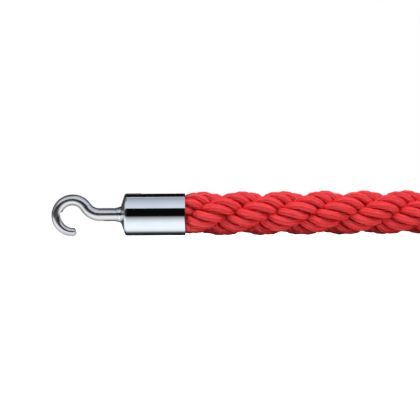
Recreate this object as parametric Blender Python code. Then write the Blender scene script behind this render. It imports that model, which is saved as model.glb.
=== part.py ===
"""Barrier rope: a laid rope with a ferrule and a swivelling hook on each end, folded once and tied for storage.

X runs along the rope from the mouth of the near ferrule, +Z is up and Z = 0 is the floor that the rope lies on.
The empty at the top of the tree then moves the whole part so that its origin is under the middle of its box.
"""

import math

import bmesh
import bpy
import numpy as np
from mathutils import Vector
from mathutils.geometry import interpolate_bezier

MM = 0.001
GAP = 0.3 * MM
MERGE = 0.001 * MM
SHARP_EDGE = math.radians(30)
TURNED_STEPS = 40

# Rope: a twelve-sided tube with one side flat on the floor
ROPE_SIDES = 12
ROPE_RADIUS = 15.2 * MM
ROPE_TAIL_RADIUS = 11.5 * MM
ROPE_MOUTH_RADIUS = 12.5 * MM
AXIS_HEIGHT = ROPE_RADIUS * math.cos(math.pi / ROPE_SIDES)
TAIL_LENGTH = 24.9 * MM
TAIL_END = 5.6 * MM
MOUTH_DEPTH = 3.5 * MM
MOUTH_PROUD = 0.6 * MM
SWELL_MIDDLE = 3.0 * MM
SWELL_END = 6.0 * MM
RUN_END = 240.0 * MM
RUN_STEP = 60.0 * MM
HANK_STEP = 22.0 * MM
NEIGHBOUR_STEPS = 8

# Route of the rope from the near mouth to the far mouth, seen from above
ROUTE_MM = (
    (0, 0), (100, 0), (200, 0), (300, 0), (390, 0), (433, 0.1), (455, 1.2), (477, 2.1),
    (501, 1.3), (524, -4.1), (544.5, -16), (562.5, -32), (580, -48.5), (600, -61), (623, -67.5),
    (646.5, -67.3), (669.5, -60.5), (689.5, -47.5), (705, -29.5), (715, -8), (718.3, 15.75),
    (715, 39.5), (705, 61), (689.5, 79), (669.5, 92), (646.5, 98.8), (623, 99), (600, 92.5),
    (580, 80), (562.5, 63.5), (544.5, 47.5), (524, 35.6), (501, 30.2), (477, 29.4), (455, 30.3),
    (433, 31.4), (390, 31.5), (320, 31.5), (256, 31.5),
)
ROUTE_STEPS = 16

# Ferrule, measured back from its mouth
FERRULE_RADIUS = 14.1 * MM
FERRULE_WALL = 1.2 * MM
FERRULE_LENGTH = 43.0 * MM
SHOULDER_DEPTH = 2.8 * MM
SHOULDER_CORNER = 1.8 * MM
CORNER_STEPS = 4
NOSE_RADIUS = 5.6 * MM
NOSE_WALL = 1.5 * MM
MOUTH_EDGE = 0.3 * MM

# Neck bush, pressed into the nose
BUSH_FLANGE_RADIUS = 4.95 * MM
BUSH_SEAT_RADIUS = 5.4 * MM
BUSH_FLANGE = 1.3 * MM
BUSH_SLEEVE_RADIUS = 4.0 * MM
BUSH_BORE = 3.12 * MM
BUSH_INSIDE = 1.0 * MM

# Hook
JOURNAL_RADIUS = 3.0 * MM
JOURNAL_CHAMFER = 0.4 * MM
SHOULDER_RADIUS = 4.85 * MM
SHOULDER_FACE = 0.1 * MM
SHOULDER_LAND = 0.6 * MM
SHOULDER_FLARE = 1.9 * MM
SHANK_RADIUS = 4.4 * MM
NECK_RADIUS = 3.9 * MM
TIP_RADIUS = 2.95 * MM
TIP_ROUND = 2.4 * MM
TIP_SWEEP = math.radians(82)
LOOP_RADIUS = 10.75 * MM
LOOP_CENTRE_X = -75.325 * MM
LOOP_CENTRE_Z = -0.75 * MM
BEND_RADIUS = 11.0 * MM
LOOP_END = math.radians(272.5)
BEND_STEPS = 6
LOOP_STEPS = 24
TIP_STEPS = 5
HOOK_RESOLUTION = 6
FAR_HOOK_TURN = math.pi

# Pieces inside the ferrule
WASHER_RADIUS = 6.0 * MM
WASHER_BORE = 3.3 * MM
WASHER_THICKNESS = 1.2 * MM
NUT_FLATS = 10.0 * MM
NUT_HEIGHT = 5.5 * MM
NUT_BORE = 3.2 * MM
NUT_STEPS = 24
JOURNAL_PROUD = 0.6 * MM
STOP_THICKNESS = 2.0 * MM
STOP_ROOM = 1.1 * MM
STOP_EDGE = 0.4 * MM
WHIPPING_START = 7.0 * MM
WHIPPING_LENGTH = 16.0 * MM
WHIPPING_THICKNESS = 0.6 * MM

# Storage tie: a strap round both runs, closed on itself on top
TIE_X = 477.0 * MM
TIE_WIDTH = 20.0 * MM
TIE_THICKNESS = 1.1 * MM
TIE_START = 2.0 * MM
TIE_OVERLAP_END = 6.0 * MM
TIE_ARC_STEPS = 12
WAIST_RADIUS = 12.7 * MM
WAIST_HALF = 13.0 * MM
WAIST_FADE = 40.0 * MM

# Finishes: colour, roughness, metallic
FINISHES = {
    "chrome": ((0.80, 0.82, 0.85), 0.06, 1.0),
    "steel": ((0.55, 0.56, 0.58), 0.35, 1.0),
    "fibre": ((0.30, 0.20, 0.12), 0.80, 0.0),
    "adhesive": ((0.72, 0.62, 0.40), 0.45, 0.0),
    "thread": ((0.85, 0.82, 0.74), 0.85, 0.0),
    "red_yarn": ((0.56, 0.022, 0.030), 0.60, 0.0),
    "black_webbing": ((0.03, 0.03, 0.032), 0.90, 0.0),
}


def make_finish(name):
    """One Principled material per finish, shared by the pieces that have it."""
    if name in bpy.data.materials:
        return bpy.data.materials[name]
    colour, roughness, metallic = FINISHES[name]
    material = bpy.data.materials.new(name)
    material.use_nodes = True
    shader = material.node_tree.nodes["Principled BSDF"]
    shader.inputs["Base Color"].default_value = (*colour, 1)
    shader.inputs["Roughness"].default_value = roughness
    shader.inputs["Metallic"].default_value = metallic
    return material


def place(name, data, parent, finish):
    """Adds the piece to the scene, under the empty that carries it."""
    data.materials.clear()
    data.materials.append(make_finish(finish))
    piece = bpy.data.objects.new(name, data)
    bpy.context.scene.collection.objects.link(piece)
    piece.parent = parent
    return piece


def add_empty(name, location, parent=None):
    empty = bpy.data.objects.new(name, None)
    empty.location = location
    empty.parent = parent
    bpy.context.scene.collection.objects.link(empty)
    return empty


def finish_mesh(shape, name):
    """Turns a bmesh into a mesh with its faces out, smooth where it is round."""
    bmesh.ops.remove_doubles(shape, verts=shape.verts[:], dist=MERGE)
    bmesh.ops.recalc_face_normals(shape, faces=shape.faces[:])
    mesh = bpy.data.meshes.new(name)
    shape.to_mesh(mesh)
    shape.free()
    mesh.shade_smooth()
    mesh.set_sharp_from_angle(angle=SHARP_EDGE)
    return mesh


def turned_shape(profile, steps):
    """Spins an outline of (x, radius) points about the X axis; a side on the axis itself is left open."""
    shape = bmesh.new()
    corners = [shape.verts.new((x, 0, radius)) for x, radius in profile]
    sides = zip(corners, corners[1:] + corners[:1])
    edges = [shape.edges.new(side) for side in sides if side[0].co.z or side[1].co.z]
    bmesh.ops.spin(
        shape,
        geom=corners + edges,
        cent=(0, 0, 0),
        axis=(1, 0, 0),
        angle=2 * math.pi,
        steps=steps,
        use_merge=True,
    )
    return shape


def turned(name, profile, steps=TURNED_STEPS):
    return finish_mesh(turned_shape(profile, steps), name)


def fillet(before, corner, after, radius, steps):
    """Points of an arc that rounds the corner of an outline."""
    corner = Vector(corner)
    back = (Vector(before) - corner).normalized()
    ahead = (Vector(after) - corner).normalized()
    half = back.angle(ahead) / 2
    reach = radius / math.tan(half)
    centre = corner + (back + ahead).normalized() * (radius / math.sin(half))
    start = (corner + back * reach - centre).normalized()
    end = (corner + ahead * reach - centre).normalized()
    return [tuple(centre + radius * start.slerp(end, step / steps)) for step in range(steps + 1)]


def ferrule_mesh():
    """Drawn cup: open mouth at X = 0, conical shoulder and a bored nose."""
    nose_x = -FERRULE_LENGTH
    corner = (nose_x + SHOULDER_DEPTH, FERRULE_RADIUS)
    nose = (nose_x, NOSE_RADIUS)
    bore = BUSH_SLEEVE_RADIUS + GAP
    inner = FERRULE_RADIUS - FERRULE_WALL
    inner_nose_x = nose_x + NOSE_WALL
    outline = [(-MOUTH_EDGE, FERRULE_RADIUS)]
    outline += fillet((0, FERRULE_RADIUS), corner, nose, SHOULDER_CORNER, CORNER_STEPS)
    outline += [nose, (nose_x, bore), (inner_nose_x, bore), (inner_nose_x, NOSE_RADIUS)]
    outline += [(inner_nose_x + SHOULDER_DEPTH, inner), (-MOUTH_EDGE, inner)]
    outline += [(0, inner + MOUTH_EDGE), (0, FERRULE_RADIUS - MOUTH_EDGE)]
    return turned("ferrule", outline)


def bush_mesh():
    """Flanged bush: the flange shows in front of the nose, the sleeve goes through it."""
    seat_x = -FERRULE_LENGTH - GAP
    flange_x = seat_x - BUSH_FLANGE
    sleeve_end = -FERRULE_LENGTH + NOSE_WALL + BUSH_INSIDE
    outline = [(flange_x, BUSH_BORE), (flange_x, BUSH_FLANGE_RADIUS), (seat_x, BUSH_SEAT_RADIUS)]
    outline += [(seat_x, BUSH_SLEEVE_RADIUS), (sleeve_end, BUSH_SLEEVE_RADIUS), (sleeve_end, BUSH_BORE)]
    return turned("neck_bush", outline)


def ring_mesh(name, start, length, bore, radius):
    end = start + length
    return turned(name, [(start, bore), (start, radius), (end, radius), (end, bore)])


def disc_mesh(name, start, length, radius):
    end = start + length
    rim = radius - STOP_EDGE
    outline = [(start, 0), (start, rim), (start + STOP_EDGE, radius)]
    outline += [(end - STOP_EDGE, radius), (end, rim), (end, 0)]
    return turned(name, outline)


def nut_mesh(start):
    """Hexagon nut: a turned ring whose outside is pushed out to six flats."""
    end = start + NUT_HEIGHT
    round_radius = NUT_FLATS / 2
    outline = [(start, NUT_BORE), (start, round_radius), (end, round_radius), (end, NUT_BORE)]
    shape = turned_shape(outline, NUT_STEPS)
    sixth = math.pi / 3
    for corner in shape.verts:
        radius = math.hypot(corner.co.y, corner.co.z)
        if radius > (NUT_BORE + round_radius) / 2:
            turn = math.atan2(corner.co.z, corner.co.y) % sixth - sixth / 2
            corner.co.yz = corner.co.yz / math.cos(turn)
    return finish_mesh(shape, "lock_nut")


def hook_points(shoulder_x, journal_end):
    """Centre line of the hook with its radius: journal, shoulder, shank, reverse bend, loop and round tip."""
    bend_reach = LOOP_RADIUS + BEND_RADIUS
    bend_rise = BEND_RADIUS - LOOP_CENTRE_Z
    bend_x = LOOP_CENTRE_X + math.sqrt(bend_reach**2 - bend_rise**2)
    loop_start = math.asin(bend_rise / bend_reach)
    flare_end = shoulder_x - SHOULDER_FLARE
    line = [((journal_end, 0), JOURNAL_RADIUS - JOURNAL_CHAMFER)]
    line += [((journal_end - JOURNAL_CHAMFER, 0), JOURNAL_RADIUS)]
    line += [((shoulder_x, 0), JOURNAL_RADIUS), ((shoulder_x - SHOULDER_FACE, 0), SHOULDER_RADIUS)]
    line += [((shoulder_x - SHOULDER_LAND, 0), SHOULDER_RADIUS)]
    line += [((flare_end, 0), SHANK_RADIUS), (((flare_end + bend_x) / 2, 0), SHANK_RADIUS)]
    bend_sweep = math.pi / 2 - loop_start
    for step in range(BEND_STEPS):
        share = step / BEND_STEPS
        turn = share * bend_sweep
        spot = (bend_x - BEND_RADIUS * math.sin(turn), BEND_RADIUS * (1 - math.cos(turn)))
        line.append((spot, SHANK_RADIUS + share * (NECK_RADIUS - SHANK_RADIUS)))
    for step in range(LOOP_STEPS + 1):
        share = step / LOOP_STEPS
        turn = loop_start + share * (LOOP_END - loop_start)
        spot = (LOOP_CENTRE_X + LOOP_RADIUS * math.cos(turn), LOOP_CENTRE_Z + LOOP_RADIUS * math.sin(turn))
        line.append((spot, NECK_RADIUS + share * (TIP_RADIUS - NECK_RADIUS)))
    end_x, end_z = line[-1][0]
    ahead_x, ahead_z = -math.sin(LOOP_END), math.cos(LOOP_END)
    for step in range(1, TIP_STEPS + 1):
        turn = TIP_SWEEP * step / TIP_STEPS
        reach = TIP_ROUND * math.sin(turn)
        line.append(((end_x + ahead_x * reach, end_z + ahead_z * reach), TIP_RADIUS * math.cos(turn)))
    return [(Vector((x, 0, z)), radius) for (x, z), radius in line]


def tube_curve(name, points, resolution, twist="MINIMUM", tilt=0.0):
    """Round bar or cord along points that each have a radius, with closed ends."""
    curve = bpy.data.curves.new(name, "CURVE")
    curve.dimensions = "3D"
    curve.twist_mode = twist
    curve.bevel_depth = MM
    curve.bevel_resolution = resolution
    curve.use_fill_caps = True
    spline = curve.splines.new("POLY")
    spline.points.add(len(points) - 1)
    for target, (spot, radius) in zip(spline.points, points):
        target.co = (*spot, 1)
        target.radius = radius / MM
        target.tilt = tilt
    spline.use_smooth = True
    return curve


def smooth_route():
    """Even, smooth line through the route's points, at the height of the rope's axis."""
    knots = [Vector((x * MM, y * MM, AXIS_HEIGHT)) for x, y in ROUTE_MM]
    spans = [(after - before).length for before, after in zip(knots, knots[1:])]
    slopes = [(after - before) / span for before, after, span in zip(knots, knots[1:], spans)]
    tangents = [slopes[0]]
    for before, after, span_before, span_after in zip(slopes, slopes[1:], spans, spans[1:]):
        tangents.append((before * span_after + after * span_before) / (span_before + span_after))
    tangents.append(slopes[-1])
    line = []
    for index, span in enumerate(spans):
        start, end = knots[index], knots[index + 1]
        leaving = start + tangents[index] * span / 3
        arriving = end - tangents[index + 1] * span / 3
        line += interpolate_bezier(start, leaving, arriving, end, ROUTE_STEPS + 1)[:-1]
    line.append(knots[-1])
    return np.array(line)


class Rope:
    """The rope's route, measured along its length from the near mouth."""

    def __init__(self):
        self.line = smooth_route()
        strides = np.linalg.norm(np.diff(self.line, axis=0), axis=1)
        self.marks = np.concatenate([[0], np.cumsum(strides)])
        self.length = self.marks[-1]
        turn = int(np.argmax(self.line[:, 0]))
        out = np.interp(TIE_X, self.line[:turn, 0], self.marks[:turn])
        back = np.interp(-TIE_X, -self.line[turn:, 0], self.marks[turn:])
        self.ties = (out, back)
        swelling = (ROPE_MOUTH_RADIUS + ROPE_RADIUS) / 2
        self.steps = [(-TAIL_LENGTH, ROPE_TAIL_RADIUS), (-TAIL_END, ROPE_TAIL_RADIUS)]
        self.steps += [(-MOUTH_DEPTH, ROPE_MOUTH_RADIUS), (MOUTH_PROUD, ROPE_MOUTH_RADIUS)]
        self.steps += [(SWELL_MIDDLE, swelling), (SWELL_END, ROPE_RADIUS)]
        far_steps = [(self.length - mark, radius) for mark, radius in reversed(self.steps)]
        for tie in self.ties:
            self.steps += [(tie - WAIST_FADE, ROPE_RADIUS), (tie - WAIST_HALF, WAIST_RADIUS)]
            self.steps += [(tie + WAIST_HALF, WAIST_RADIUS), (tie + WAIST_FADE, ROPE_RADIUS)]
        self.steps += far_steps

    def spot(self, mark):
        """The axis at a distance along the rope; past either mouth it runs straight into the ferrule."""
        inside = min(max(mark, 0), self.length)
        x, y, z = (np.interp(inside, self.marks, self.line[:, axis]) for axis in range(3))
        beyond = mark - inside
        return Vector((x + (beyond if mark < 0 else -beyond), y, z))

    def radius(self, mark):
        return float(np.interp(mark, *zip(*self.steps)))

    def stretch(self, start, end, step):
        """Points and radii from start to end: even steps, and a point at each change of radius."""
        count = math.ceil((end - start) / step)
        changes = [mark for mark, _ in self.steps if start < mark < end]
        even = [mark for mark in np.linspace(start, end, count + 1) if
                all(abs(mark - change) > step / 4 for change in changes) or mark in (start, end)]
        return [(self.spot(mark), self.radius(mark)) for mark in sorted(even + changes)]

    def least_gap(self, points):
        """Least clear distance between stretches of the tube that aren't neighbours."""
        spots = np.array([spot for spot, _ in points])
        radii = np.array([radius for _, radius in points])
        apart = np.linalg.norm(spots[:, None] - spots[None], axis=2) - radii[:, None] - radii[None]
        order = np.arange(len(points))
        strangers = np.abs(np.subtract.outer(order, order)) >= NEIGHBOUR_STEPS
        return float(apart[strangers].min())


def tie_mesh(spots):
    """Strap outline: round both runs once, then over its own start, extruded to the strap's width."""
    near_y, far_y = (spot.y for spot in spots)
    reach = WAIST_RADIUS + 2 * GAP + TIE_THICKNESS / 2
    lift = TIE_THICKNESS + GAP
    path = [(near_y + TIE_START, reach)]
    for step in range(TIE_ARC_STEPS + 1):
        turn = math.pi / 2 - math.pi * step / TIE_ARC_STEPS
        path.append((far_y + reach * math.cos(turn), reach * math.sin(turn)))
    for step in range(TIE_ARC_STEPS + 1):
        share = step / TIE_ARC_STEPS
        turn = -math.pi / 2 - math.pi * share
        out = reach + lift * max(0, 2 * share - 1)
        path.append((near_y + out * math.cos(turn), out * math.sin(turn)))
    path.append((far_y - TIE_OVERLAP_END, reach + lift))
    line = [Vector(spot) for spot in path]
    outer, inner = [], []
    for index, spot in enumerate(line):
        ahead = (line[min(index + 1, len(line) - 1)] - line[max(index - 1, 0)]).normalized()
        across = Vector((-ahead.y, ahead.x)) * (TIE_THICKNESS / 2)
        outer.append(spot + across)
        inner.append(spot - across)
    shape = bmesh.new()
    start = TIE_X - TIE_WIDTH / 2
    rims = [shape.verts.new((start, y, z + AXIS_HEIGHT)) for y, z in outer]
    rims_in = [shape.verts.new((start, y, z + AXIS_HEIGHT)) for y, z in inner]
    for index in range(len(line) - 1):
        shape.faces.new((rims[index], rims[index + 1], rims_in[index + 1], rims_in[index]))
    made = bmesh.ops.extrude_face_region(shape, geom=shape.faces[:])["geom"]
    moved = [item for item in made if isinstance(item, bmesh.types.BMVert)]
    bmesh.ops.translate(shape, vec=(TIE_WIDTH, 0, 0), verts=moved)
    return finish_mesh(shape, "storage_tie")


def add_end(end, meshes, hook, mouth, hook_turn):
    """One end of the rope: the ferrule with what it holds, and the hook on its own turning empty."""
    for name, (mesh, finish) in meshes.items():
        place(f"{end}_{name}", mesh.copy(), mouth, finish)
    swivel = add_empty(f"{end}_swivel", (0, 0, 0), mouth)
    swivel.rotation_euler.x = hook_turn
    place(f"{end}_hook", hook.copy(), swivel, "chrome")


for old in list(bpy.data.objects):
    bpy.data.objects.remove(old)

rope = Rope()
low, high = rope.line.min(axis=0), rope.line.max(axis=0)
hook_reach = LOOP_CENTRE_X - LOOP_RADIUS - (NECK_RADIUS + TIP_RADIUS) / 2
middle_x = (hook_reach + high[0] + AXIS_HEIGHT) / 2
middle_y = (low[1] + high[1]) / 2
part = add_empty("barrier_rope", (-middle_x, -middle_y, 0))

# Stations along the axis inside a ferrule, from the nose to the rope
bush_end = -FERRULE_LENGTH + NOSE_WALL + BUSH_INSIDE
washer_x = bush_end + GAP
nut_x = washer_x + WASHER_THICKNESS + GAP
journal_x = nut_x + NUT_HEIGHT + JOURNAL_PROUD
stop_x = journal_x + STOP_ROOM
glue_x = stop_x + STOP_THICKNESS + GAP
glue_length = -TAIL_LENGTH - GAP - glue_x
inner_radius = FERRULE_RADIUS - FERRULE_WALL - GAP
whipping_bore = ROPE_TAIL_RADIUS + GAP
shoulder_x = -FERRULE_LENGTH - 2 * GAP - BUSH_FLANGE

end_meshes = {
    "ferrule": (ferrule_mesh(), "chrome"),
    "neck_bush": (bush_mesh(), "chrome"),
    "washer": (ring_mesh("washer", washer_x, WASHER_THICKNESS, WASHER_BORE, WASHER_RADIUS), "steel"),
    "lock_nut": (nut_mesh(nut_x), "steel"),
    "stop_disc": (disc_mesh("stop_disc", stop_x, STOP_THICKNESS, inner_radius), "fibre"),
    "glue_plug": (disc_mesh("glue_plug", glue_x, glue_length, inner_radius), "adhesive"),
    "whipping": (
        ring_mesh("whipping", -WHIPPING_START - WHIPPING_LENGTH, WHIPPING_LENGTH, whipping_bore,
                  whipping_bore + WHIPPING_THICKNESS),
        "thread",
    ),
}
hook_curve = tube_curve("hook", hook_points(shoulder_x, journal_x), HOOK_RESOLUTION)

near_mouth = add_empty("near_mouth", rope.spot(0), part)
far_mouth = add_empty("far_mouth", rope.spot(rope.length), part)
add_end("near", end_meshes, hook_curve, near_mouth, 0)
add_end("far", end_meshes, hook_curve, far_mouth, FAR_HOOK_TURN)

flat_down = math.pi / ROPE_SIDES
rope_resolution = ROPE_SIDES // 2 - 2
run = rope.stretch(-TAIL_LENGTH, RUN_END, RUN_STEP)
hank = rope.stretch(RUN_END + GAP, rope.length + TAIL_LENGTH, HANK_STEP)
for name, points in (("rope_run", run), ("rope_hank", hank)):
    place(name, tube_curve(name, points, rope_resolution, "Z_UP", flat_down), part, "red_yarn")
place("storage_tie", tie_mesh([rope.spot(mark) for mark in rope.ties]), part, "black_webbing")

print(f"rope between the mouths {rope.length:.4f} m")
print(f"least gap of the hank to itself {rope.least_gap(hank) / MM:.2f} mm")
print(f"origin at x {middle_x:.5f} y {middle_y:.5f} from the near mouth, axis at z {AXIS_HEIGHT:.5f}")
print(f"far mouth at {tuple(round(value, 5) for value in rope.spot(rope.length))}")
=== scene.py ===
"""Looks of a twisted barrier rope: laid red yarn, chromed ferrules with swivel hooks, and a strap."""

import math

import bmesh
import bpy
import numpy as np
from mathutils import Matrix, Vector
from mathutils.geometry import interpolate_bezier


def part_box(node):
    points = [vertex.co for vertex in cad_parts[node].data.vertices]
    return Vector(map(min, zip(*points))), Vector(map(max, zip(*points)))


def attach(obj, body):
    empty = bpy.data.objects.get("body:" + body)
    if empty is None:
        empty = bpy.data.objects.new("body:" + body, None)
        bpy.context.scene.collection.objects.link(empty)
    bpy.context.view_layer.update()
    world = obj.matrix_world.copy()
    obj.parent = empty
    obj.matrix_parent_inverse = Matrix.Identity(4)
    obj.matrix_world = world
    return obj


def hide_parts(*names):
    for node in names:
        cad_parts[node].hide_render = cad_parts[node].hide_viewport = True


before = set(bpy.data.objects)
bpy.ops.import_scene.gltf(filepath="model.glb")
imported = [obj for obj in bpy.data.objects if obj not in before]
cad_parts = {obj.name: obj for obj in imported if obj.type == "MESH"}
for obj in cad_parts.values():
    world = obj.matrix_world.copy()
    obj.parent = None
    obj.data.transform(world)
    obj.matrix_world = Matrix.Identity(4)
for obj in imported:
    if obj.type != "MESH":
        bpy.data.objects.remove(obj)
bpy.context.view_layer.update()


# Rope
# Three strands laid left-handed, each twisted the other way from four thick cords of glossy red yarn.
# Both ends are drawn down to go into the ferrules, and the strap draws the two runs in where it holds them.
MM = 0.001
ROUTE_MM = (
    (-24.9, 0), (0, 0), (100, 0), (200, 0), (300, 0), (390, 0), (433, 0.1), (455, 1.2), (477, 2.1),
    (501, 1.3), (524, -4.1), (544.5, -16), (562.5, -32), (580, -48.5), (600, -61), (623, -67.5),
    (646.5, -67.3), (669.5, -60.5), (689.5, -47.5), (705, -29.5), (715, -8), (718.3, 15.75),
    (715, 39.5), (705, 61), (689.5, 79), (669.5, 92), (646.5, 98.8), (623, 99), (600, 92.5),
    (580, 80), (562.5, 63.5), (544.5, 47.5), (524, 35.6), (501, 30.2), (477, 29.4), (455, 30.3),
    (433, 31.4), (390, 31.5), (320, 31.5), (256, 31.5), (231.1, 31.5),
)
ROUTE_STEPS = 16
STRANDS = 3
STRAND_LAY = 81 * MM
STRAND_RING = 7.1 * MM
STRAND_FIRST_TOP = 11.0 * MM
CORDS = 4
CORD_TURN = 21.665 * MM
CORD_RING = 5.5 * MM
CORD_RADIUS = 2.6 * MM
CORD_PHASES = (0.278, -1.649, 0.243)
CORD_SIDES = 12
CORD_STEP = 2.2 * MM
CORD_SWELL = 0.03
CORD_SWELL_LENGTH = 47 * MM
CORD_SWELL_OFFSET = 1.7
CORD_STRAY = 0.10
CORD_STRAY_LENGTH = 63 * MM
CORD_STRAY_OFFSET = 2.3
CORE_RADIUS = 3.8 * MM
CORE_STRIDE = 3
# Distances along the rope from the mouth of its ferrule, with the share of its full width there
ROPE_DRAWN_IN = ((-24.9, 0.75), (-5, 0.75), (-3, 0.82), (0.4, 0.83), (2.2, 0.94), (5, 1.0), (9, 1.0))
STRAP_DRAWN_IN = ((-44, 1.0), (-36, 0.98), (-13, 0.835), (13, 0.835), (36, 0.98), (44, 1.0))
STRAP_X = 477 * MM
PRESSED_TOP = 1.6 * MM
PRESSED_FLOOR = 0.2 * MM
YARN_RED = (0.82, 0.026, 0.033, 1)
# The dark red is both the yarn's random darker tone and a painted shade in the grooves between its yarns
YARN_DARK_AND_PAINTED_SHADE = (0.70, 0.006, 0.009, 1)
# The pink is a painted highlight on the tops of the yarns
YARN_PAINTED_HIGHLIGHT = (0.92, 0.070, 0.084, 1)
YARN_ROUGHNESS = (0.36, 0.54)
YARN_DEPTH = 0.45 * MM
FIBRE_DEPTH = 0.05 * MM
LIGHT_SINKS_IN = 2.5 * MM
PATCH_FINENESS = 160
FUZZ_FINENESS = 2600
GROOVE_CURVE = 0.6
# How much darker the grooves between the yarns are painted, as shade
GROOVE_PAINTED_SHADE = 0.75
PATCH_SHADE = 0.5
# How strongly random streaks along the tops of the yarns are painted pink, as highlight
STREAK_HIGHLIGHT_RANGE = (-1.1, 1.7)
STREAK_LENGTH = 0.7
STREAK_FINENESS = 1.6
YARN_LINES = 7
YARN_TURNS = 60
FIBRE_LINES = 35
FIBRE_TURNS = 200


def smooth_line(knots, steps):
    """Smooth line through the knots, as an array of points."""
    spans = [(after - before).length for before, after in zip(knots, knots[1:])]
    slopes = [(after - before) / span for before, after, span in zip(knots, knots[1:], spans)]
    tangents = [slopes[0]]
    for before, after, span_before, span_after in zip(slopes, slopes[1:], spans, spans[1:]):
        tangents.append((before * span_after + after * span_before) / (span_before + span_after))
    tangents.append(slopes[-1])
    line = []
    for index, span in enumerate(spans):
        start, end = knots[index], knots[index + 1]
        leaving = start + tangents[index] * span / 3
        arriving = end - tangents[index + 1] * span / 3
        line += interpolate_bezier(start, leaving, arriving, end, steps + 1)[:-1]
    return np.array(line + [knots[-1]])


def mouth_of(ferrule):
    """The middle of a ferrule's open end, where the rope leaves it."""
    low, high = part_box(ferrule)
    return Vector((high.x, (low.y + high.y) / 2, (low.z + high.z) / 2))


near_mouth = mouth_of("near_ferrule")
far_mouth = mouth_of("far_ferrule")
both_ends = (("near", near_mouth), ("far", far_mouth))
rope_line = smooth_line([near_mouth + Vector((x * MM, y * MM, 0)) for x, y in ROUTE_MM], ROUTE_STEPS)
rope_strides = np.linalg.norm(np.diff(rope_line, axis=0), axis=1)
rope_marks = np.concatenate([[0], np.cumsum(rope_strides)]) + ROUTE_MM[0][0] * MM
rope_end = rope_marks[-1] + ROUTE_MM[0][0] * MM
fold = int(np.argmax(rope_line[:, 0]))
strap_x = near_mouth.x + STRAP_X
strap_out = np.interp(strap_x, rope_line[:fold, 0], rope_marks[:fold])
strap_back = np.interp(-strap_x, -rope_line[fold:, 0], rope_marks[fold:])
drawn_in = [(mark * MM, share) for mark, share in ROPE_DRAWN_IN]
drawn_in += [(strap_out + mark * MM, share) for mark, share in STRAP_DRAWN_IN]
drawn_in += [(strap_back + mark * MM, share) for mark, share in STRAP_DRAWN_IN]
drawn_in += [(rope_end - mark * MM, share) for mark, share in reversed(ROPE_DRAWN_IN)]

stations = np.linspace(rope_marks[0], rope_marks[-1], round((rope_marks[-1] - rope_marks[0]) / CORD_STEP))
axis = np.stack([np.interp(stations, rope_marks, rope_line[:, side]) for side in range(3)], axis=1)
along = np.gradient(axis, axis=0)
along /= np.linalg.norm(along, axis=1)[:, None]
up = np.array([0.0, 0.0, 1.0])
across = np.cross(up, along)
width = np.interp(stations, *zip(*drawn_in))[:, None]
tilt = math.atan(2 * math.pi * STRAND_RING / STRAND_LAY)
laid = bpy.data.curves.new("laid_cords", "CURVE")
laid.dimensions = "3D"
laid.bevel_depth = CORD_RADIUS
laid.bevel_resolution = CORD_SIDES // 2 - 2
laid.use_fill_caps = True


def lay(points, radius):
    """Adds one cord along the points, with its radius at each."""
    spline = laid.splines.new("POLY")
    spline.points.add(len(points) - 1)
    spline.points.foreach_set("co", np.column_stack([points, np.ones(len(points))]).ravel())
    spline.points.foreach_set("radius", radius / CORD_RADIUS)
    spline.use_smooth = True


for strand in range(STRANDS):
    turn = 2 * math.pi * ((stations - STRAND_FIRST_TOP) / STRAND_LAY - strand / STRANDS) + math.pi / 2
    turn = turn[:, None]
    outward = up * np.sin(turn) - across * np.cos(turn)
    forward = up * np.cos(turn) + across * np.sin(turn)
    sideways = forward * math.cos(tilt) - along * math.sin(tilt)
    core_line = axis + width * STRAND_RING * outward
    lay(core_line[::CORE_STRIDE], width[::CORE_STRIDE, 0] * CORE_RADIUS)
    for cord in range(CORDS):
        own = strand * CORDS + cord
        swell_turn = 2 * math.pi * stations / CORD_SWELL_LENGTH + CORD_SWELL_OFFSET * own
        stray_turn = 2 * math.pi * stations / CORD_STRAY_LENGTH + CORD_STRAY_OFFSET * own
        swell = 1 + CORD_SWELL * np.sin(swell_turn)
        stray = CORD_STRAY * np.sin(stray_turn)
        twist = CORD_PHASES[strand] + 2 * math.pi * (cord / CORDS - stations / CORD_TURN) + stray
        twist = twist[:, None]
        middle = STRAND_RING * outward + CORD_RING * (np.cos(twist) * outward + np.sin(twist) * sideways)
        lay(axis + width * middle, width[:, 0] * swell * CORD_RADIUS)
laid_object = bpy.data.objects.new("laid_cords", laid)
rope_mesh = bpy.data.meshes.new_from_object(laid_object)
bpy.data.objects.remove(laid_object)
places = np.empty(3 * len(rope_mesh.vertices), np.float32)
rope_mesh.vertices.foreach_get("co", places)
places = places.reshape(-1, 3)
lowest = places[:, 2].min()
pressed = places[:, 2] < PRESSED_TOP
share = (places[pressed, 2] - lowest) / (PRESSED_TOP - lowest)
places[pressed, 2] = PRESSED_FLOOR + share * (PRESSED_TOP - PRESSED_FLOOR)
rope_mesh.vertices.foreach_set("co", places.ravel())
rope_mesh.update()


def feed(tree, socket, value):
    """Links an output to a socket, or sets the socket to a plain value."""
    if isinstance(value, bpy.types.NodeSocket):
        tree.links.new(value, socket)
    else:
        socket.default_value = value


def reckon(tree, operation, *values):
    """The result of a Math node."""
    made = tree.nodes.new("ShaderNodeMath")
    made.operation = operation
    for socket, value in zip(made.inputs, values):
        feed(tree, socket, value)
    return made.outputs[0]


def colour_between(tree, share, first, second):
    """A colour that goes from first to second as share goes from 0 to 1."""
    made = tree.nodes.new("ShaderNodeMix")
    made.data_type = "RGBA"
    feed(tree, made.inputs[0], share)
    feed(tree, made.inputs[6], first)
    feed(tree, made.inputs[7], second)
    return made.outputs[2]


def value_between(tree, value, low, high):
    """Value, which runs from 0 to 1, brought to the range from low to high."""
    made = tree.nodes.new("ShaderNodeMapRange")
    feed(tree, made.inputs["Value"], value)
    feed(tree, made.inputs["To Min"], low)
    feed(tree, made.inputs["To Max"], high)
    return made.outputs["Result"]


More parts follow.
